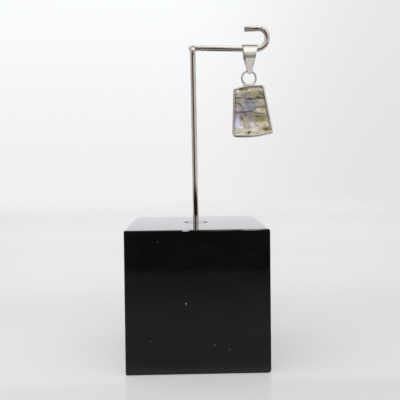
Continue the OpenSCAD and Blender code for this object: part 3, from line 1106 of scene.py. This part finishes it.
class PENDANT_OT_setting(bpy.types.Operator):
    """Make the silver setting with its lip, back plate, ring and beads of solder"""

    bl_idname = "pendant.setting"
    bl_label = "Setting"
    bl_options = {"REGISTER", "UNDO"}

    # Radii of the outline's corners from the low left one on, the steps round each, and the
    # least radius that is left where the outline is moved inwards
    RADII = (2, 5, 1.6, 1.4, 4, 1.5)
    STEPS, LEAST_RADIUS = 8, 0.08
    # Where the rim's crest stands between the wall and the lip's edge, along each side
    CRESTS = (0.77, 0.77, 0.72, 0.5, 0.5, 0.36)
    # The back's rounded edge: share of the way in to the crest, and depth in front of the back
    BACK = ((0.4, 0), (0.1, 0.06), (0, 0.2))
    # The rim's section: shares of the way up to the crest and down from it, and the depth behind
    # its front
    RIDGE = (
        (0, 0, 1.0), (0.04, 0, 0.79), (0.12, 0, 0.64), (0.25, 0, 0.48), (0.45, 0, 0.3),
        (0.65, 0, 0.15), (0.82, 0, 0.045), (0.94, 0, 0.008), (1, 0, 0), (1, 0.2, 0.03),
        (1, 0.45, 0.09), (1, 0.7, 0.17), (1, 0.9, 0.25), (1, 1, 0.32), (1, 0.9, 0.36),
    )
    # How far behind the front the cup's inner wall starts
    WALL = 0.4
    RING_ROUND, RING_STEPS = 20, 56
    # Solder: height of the beads above the peak and how much more to the right, how flat they
    # are, and the run between them: height, turn and half sizes
    BEAD_UP, BEAD_RISE, BEAD_FLAT = 0.2, 0.12, 0.95
    RUN_UP, RUN_TURN, RUN = 0.1, math.radians(-3), (2.3, 0.62, 0.66)
    # Painted shade and painted highlights in lines: middle, start and end of the line in
    # millimetres, and its strength
    # Painted shade along the left side and the foot's outer side
    SIDE_LINE, FOOT_LINE = (0.24, 0.3, 0.1, 0.55), (0.54, 0.28, 0.12, 1)
    # Painted highlights along the foot, inside the painted shade and at its lower edge
    RUBBED_LINE, RUBBED_EDGE = (0.94, 0.28, 0.1, 1), (0, 0.42, 0.3, 0.8)

    def execute(self, context):
        scene = context.scene
        size, ring = sizes(scene, "setting", "ring")
        at = places(scene)
        front = size.back - size.depth
        floor = size.back - size.plate
        lips = [size.foot_lip, size.foot_lip, size.right_lip, size.lip, size.lip, size.lip]
        section = [(outer, 0, size.back - depth) for outer, depth in self.BACK]
        section += [(outer, inner, front + depth) for outer, inner, depth in self.RIDGE]
        bm = bmesh.new()
        loops = []
        for outer, inner, y in section:
            steps = [
                (size.rim + lip) * (crest * outer + (1 - crest) * inner)
                for lip, crest in zip(lips, self.CRESTS)
            ]
            loops.append(self.loop(bm, at.face, steps, y))
        for y in (front + self.WALL, floor):
            loops.append(self.loop(bm, at.face, [size.rim] * 6, y))
        for one, other in zip(loops, loops[1:]):
            bmesh.ops.bridge_loops(bm, edges=one + other)
        cap(bm, loops[0] + loops[-1])
        self.add_ring(bm, at.ring, ring)
        self.add_solder(bm, at.face[4], ring)

        def wear(s, place):
            """Painted shade along the left side and the foot, and painted highlights above and
            below.
            """

            def line(distance, centre, start, end, strength):
                return s.fade(abs(distance - centre), start, end, 0, strength)

            left, middle, right = at.face[:3]
            x, _, z = s.split(place)
            side = x - ((z - left.y) * (size.left_lean / size.left_height) + left.x)
            edge = s.fade(x, left.x, middle.x, left.y, middle.y)
            edge = s.fade(x, middle.x, right.x, 0, right.y - middle.y) + edge
            up = z - edge
            # The painted shade along the foot grows stronger towards the right
            foot = s.fade(x, middle.x - 1, middle.x + 1.5, 0.7, 0.85)
            dark = line(side, *self.SIDE_LINE) + line(up, *self.FOOT_LINE) * foot
            return dark, line(up, *self.RUBBED_LINE) + line(up, *self.RUBBED_EDGE)

        colours = scene.pendant_colours
        finish = silver_finish(
            colours, "polished_silver", colours.silver, 0.18, (1.2, 1.2, 1.2), 1.0, wear
        )
        write_piece(bm, "silver_setting", finish, "drop", "setting")
        return {"FINISHED"}

    def loop(self, bm, face, steps, y):
        """The outline moved inwards, in a plane across Y, with its corners rounded."""
        corners = inset(face, steps)
        cuts = []
        for i, radius in enumerate(self.RADII):
            radius = max(radius - (steps[i - 1] + steps[i]) / 2, self.LEAST_RADIUS)
            cuts.append(radius / math.tan(half_corner(corners, i)))
        return outline(bm, corners, cuts, y, self.STEPS)

    def add_ring(self, bm, centre, ring):
        """Spins a small circle once around the ring's centre."""
        at = Matrix.Translation(centre + Vector((ring.across / 2, 0, 0)))
        edges = circle(bm, self.RING_ROUND, ring.thickness / 2, at)
        swing(bm, edges, centre, (0, 1, 0), 2 * math.pi, self.RING_STEPS, merge=True)

    def add_solder(self, bm, peak, ring):
        """Adds a bead on each side of the ring's foot and the run of solder between them."""
        lumps = []
        for side in (-1, 1):
            up = peak.y + self.BEAD_UP + self.BEAD_RISE * side
            centre = Matrix.Translation((peak.x + side * ring.bead_gap / 2, 0, up))
            flat = (ring.bead, ring.bead, ring.bead * self.BEAD_FLAT, 1)
            lumps.append(centre @ Matrix.Diagonal(flat))
        run = Matrix.Translation((peak.x, 0, peak.y + self.RUN_UP))
        run = run @ Matrix.Rotation(self.RUN_TURN, 4, "Y")
        lumps.append(run @ Matrix.Diagonal((*self.RUN, 1)))
        for lump in lumps:
            bmesh.ops.create_icosphere(bm, subdivisions=4, radius=1, matrix=lump)


class PENDANT_OT_stone(bpy.types.Operator):
    """Cut the stone: a table with a ring of facets down to the girdle"""

    bl_idname = "pendant.stone"
    bl_label = "Stone"
    bl_options = {"REGISTER", "UNDO"}

    # Radii of the corners that have a facet of their own, from the low left one on
    CORNERS = (2, 0, 1.6, 1.4, 0, 1.5)
    # Rounding of the edges between the facets
    ROUNDING = 0.07

    def execute(self, context):
        scene = context.scene
        size, setting = sizes(scene, "stone", "setting")
        at = places(scene)
        front = setting.back - setting.depth
        girdle_y = front + size.girdle
        table_y = front - size.proud
        back_y = setting.back - setting.plate - size.gap
        seat = setting.rim + size.gap
        girdle = inset(at.face, [seat] * 6)
        widths = [size.foot, size.foot, size.right, size.top, size.top, size.left]
        table = inset(at.face, [setting.rim + width for width in widths])

        bm = bmesh.new()
        cuts = [size.corner * radius for radius in self.CORNERS]
        rim = outline(bm, girdle, cuts, back_y, 1)
        far = push(bm, rim, (0, table_y - back_y, 0))
        cap(bm, rim + far)
        bmesh.ops.recalc_face_normals(bm, faces=bm.faces)
        rise = girdle_y - table_y
        for i, corner in enumerate(girdle):
            side = (girdle[(i + 1) % 6] - corner).normalized()
            out = Vector((side.y, -side.x))
            run = widths[i] - size.gap
            self.cut(bm, corner, out, run, rise, girdle_y)
            if self.CORNERS[i]:
                back = (girdle[i - 1] - corner).normalized()
                out = -(back + side).normalized()
                edge = corner + side * cuts[i]
                inner = table[i] + side * size.table_corner
                self.cut(bm, edge, out, (edge - inner).dot(out), rise, girdle_y)
        bmesh.ops.remove_doubles(bm, verts=bm.verts, dist=0.002)
        bmesh.ops.dissolve_limit(
            bm, angle_limit=math.radians(1), verts=bm.verts[:], edges=bm.edges[:]
        )
        soften(bm, bm.edges[:], self.ROUNDING)
        finish = stone_finish(scene.pendant_colours, at.face[0])
        weigh_normals(write_piece(bm, "faceted_stone", finish, "drop", "stone"))
        return {"FINISHED"}

    @staticmethod
    def cut(bm, point, out, run, rise, girdle_y):
        """Cuts one facet that runs from the girdle up to the table and fills it."""
        normal = Vector((out.x * rise, -run, out.y * rise)).normalized()
        made = bmesh.ops.bisect_plane(
            bm, geom=bm.verts[:] + bm.edges[:] + bm.faces[:], dist=0.0001,
            plane_co=(point.x, girdle_y, point.y), plane_no=normal, clear_outer=True,
        )["geom_cut"]
        cap(bm, edges_in(made))


# The stage


class PENDANT_OT_stage(bpy.types.Operator):
    """Set up the camera, the pale table and the soft light"""

    bl_idname = "pendant.stage"
    bl_label = "Stage"
    bl_options = {"REGISTER", "UNDO"}

    # How far the table reaches, its sides and how far under the block it lies
    REACH, ROUND, UNDER = 1100, 128, 0.02
    # Half the length of the dark card, and how far in front of the middle it starts
    CARD, CARD_START = 745, 30
    # Where the dark card grows darker towards the front, and by how much
    CARD_FADES = ((-25, -38, 0.44), (-75, -200, 0.3), (-200, -225, 0.26))
    # What polished metal sees around it at eye level: degrees from the camera towards the right,
    # and brightness
    ROOM = (
        (-180, 0.92), (-116, 0.62), (-62, 0.52), (-46, 0.5), (-35, 0.05), (0, 0.04),
        (11, 0.5), (34, 0.72), (62, 0.76), (112, 0.82), (150, 0.88), (180, 0.92),
    )
    # How much brighter the wall behind the pendant is
    BACK_LIGHT = 1.22
    # The ceiling in reflections, low and right above, and the soft light, least and most, and
    # where that comes from
    CEILING = ((0.95, 0.94, 0.92), (1.75, 1.74, 1.72))
    SOFT = ((0.34, 0.34, 0.34), (1.5, 1.5, 1.5))
    SOFT_FROM = (-0.25, -0.45, 0.86)

    def execute(self, context):
        scene = context.scene
        stage = scene.pendant_stage
        self.camera(scene, stage)
        self.table(stage)
        self.dark_card(stage)
        self.room(scene, stage)
        scene.view_settings.view_transform = "Standard"
        return {"FINISHED"}

    @staticmethod
    def camera(scene, stage):
        data = bpy.data.cameras.new("photo_camera")
        data.sensor_width = 36
        data.lens = stage.lens
        data.shift_y = stage.rise
        data.clip_start, data.clip_end = 0.01, 20
        camera = bpy.data.objects.new("photo_camera", data)
        scene.collection.objects.link(camera)
        ahead = Vector((math.sin(stage.yaw), math.cos(stage.yaw), 0)) * math.cos(stage.pitch)
        ahead.z = math.sin(stage.pitch)
        right = Vector((math.cos(stage.yaw), -math.sin(stage.yaw), 0))
        up = right.cross(ahead)
        side = math.cos(stage.roll) * right + math.sin(stage.roll) * up
        upright = math.cos(stage.roll) * up - math.sin(stage.roll) * right
        axes = Matrix((side, upright, -ahead)).transposed()
        camera.matrix_world = Matrix.Translation(stage.camera) @ axes.to_4x4()
        scene.camera = camera

    def table(self, stage):
        bm = bmesh.new()
        bmesh.ops.create_circle(
            bm, cap_ends=True, segments=self.ROUND, radius=self.REACH,
            matrix=Matrix.Translation((0, 0, -self.UNDER)),
        )
        table = write_object(bm, "pale_table", floor_finish(stage, self.REACH))

    def dark_card(self, stage):
        """The dark room in front of the block, which only shows in polished surfaces."""
        bm = bmesh.new()
        bmesh.ops.create_grid(bm, x_segments=1, y_segments=1, size=1)
        fit(bm, (self.REACH, self.CARD, 1), (0, -self.CARD - self.CARD_START, 0.1))
        material, s = new_material("dark_room")
        _, y, _ = s.split(s.place())
        dark = s.add("Emission", sockets={"Color": (*stage.dark, 1), "Strength": 1.0})
        clear = s.add("BsdfTransparent")
        share = s.steps(y, self.CARD_FADES)
        s.end("OutputMaterial", s.add("MixShader", sockets={0: share, 1: clear, 2: dark}))
        card = write_object(bm, "dark_card", material)
        card.visible_camera = False
        card.visible_diffuse = False
        card.visible_shadow = False
        card.visible_transmission = False

    def room(self, scene, stage):
        """A bright room for the eye, with a dark side behind the camera for reflections."""
        world = bpy.data.worlds.new("soft_studio")
        world.use_nodes = True
        scene.world = world
        s = Shader(world.node_tree)
        to = s.add("TexCoord", out="Generated")
        x, y, z = s.split(to)

        # The backdrop that the camera sees
        across = s.fade(x, -0.03, 0.36)
        low = s.mix(across, stage.left_low, stage.right_low)
        high = s.mix(across, stage.left, stage.right)
        backdrop = s.mix(s.fade(z, -0.05, 0.35), low, high)

        # The walls and the ceiling that polished surfaces see
        around = s.math("ARCTAN2", x, 0 - y) / (2 * math.pi) + 0.5
        above = s.math("ARCSINE", z) * (180 / math.pi)
        stops = [
            ((angle + 180) / 360, [level * c for c in stage.warmth]) for angle, level in self.ROOM
        ]
        walls = s.add("ValToRGB", {"stops": stops}, {"Fac": around})
        back = [level * self.BACK_LIGHT for level in stage.back]
        walls = s.mix(s.fade(y, 0.85, 0.97), walls, back)
        behind = s.fade(y, 0.05, 0.5)
        ceiling = s.scaled(s.mix(s.fade(above, 40, 90), *self.CEILING), 1 - 0.3 * behind)
        mirror = s.mix(s.fade(above, 9, 30 - 11 * behind), walls, ceiling)

        # The soft light on everything else
        front = s.vector("DOT_PRODUCT", to, self.SOFT_FROM, "Value")
        soft = s.mix(s.fade(front, 0.0, 0.95), *self.SOFT)
        seen = s.add("LightPath", out="Is Camera Ray")
        glossy = s.add("LightPath", out="Is Glossy Ray")
        shade = s.mix(seen, s.mix(glossy, soft, mirror), backdrop)
        s.end("OutputWorld", s.add("Background", sockets={"Color": shade, "Strength": 1.0}))


class PENDANT_PT_panel(bpy.types.Panel):
    """Lists the pieces, their sizes and their colours"""

    bl_label = "Pendant"
    bl_idname = "PENDANT_PT_panel"
    bl_space_type = "VIEW_3D"
    bl_region_type = "UI"
    bl_category = "Pendant"

    def draw(self, context):
        for operator in OPERATORS:
            self.layout.operator(operator.bl_idname)
        for name, group in GROUPS.items():
            box = self.layout.box()
            box.label(text=group.__doc__)
            for value in group.__annotations__:
                box.prop(getattr(context.scene, name), value)


OPERATORS = [
    PENDANT_OT_block,
    PENDANT_OT_wire,
    PENDANT_OT_bail,
    PENDANT_OT_setting,
    PENDANT_OT_stone,
    PENDANT_OT_stage,
]
CLASSES = [*GROUPS.values(), *OPERATORS, PENDANT_PT_panel]


def register():
    for one in CLASSES:
        bpy.utils.register_class(one)
    for name, group in GROUPS.items():
        setattr(bpy.types.Scene, name, PointerProperty(type=group))


def unregister():
    for name in GROUPS:
        delattr(bpy.types.Scene, name)
    for one in reversed(CLASSES):
        bpy.utils.unregister_class(one)


def main():
    register()
    bpy.ops.pendant.block()
    bpy.ops.pendant.wire()
    bpy.ops.pendant.bail()
    bpy.ops.pendant.setting()
    bpy.ops.pendant.stone()
    bpy.ops.pendant.stage()


if __name__ == "__main__":
    main()
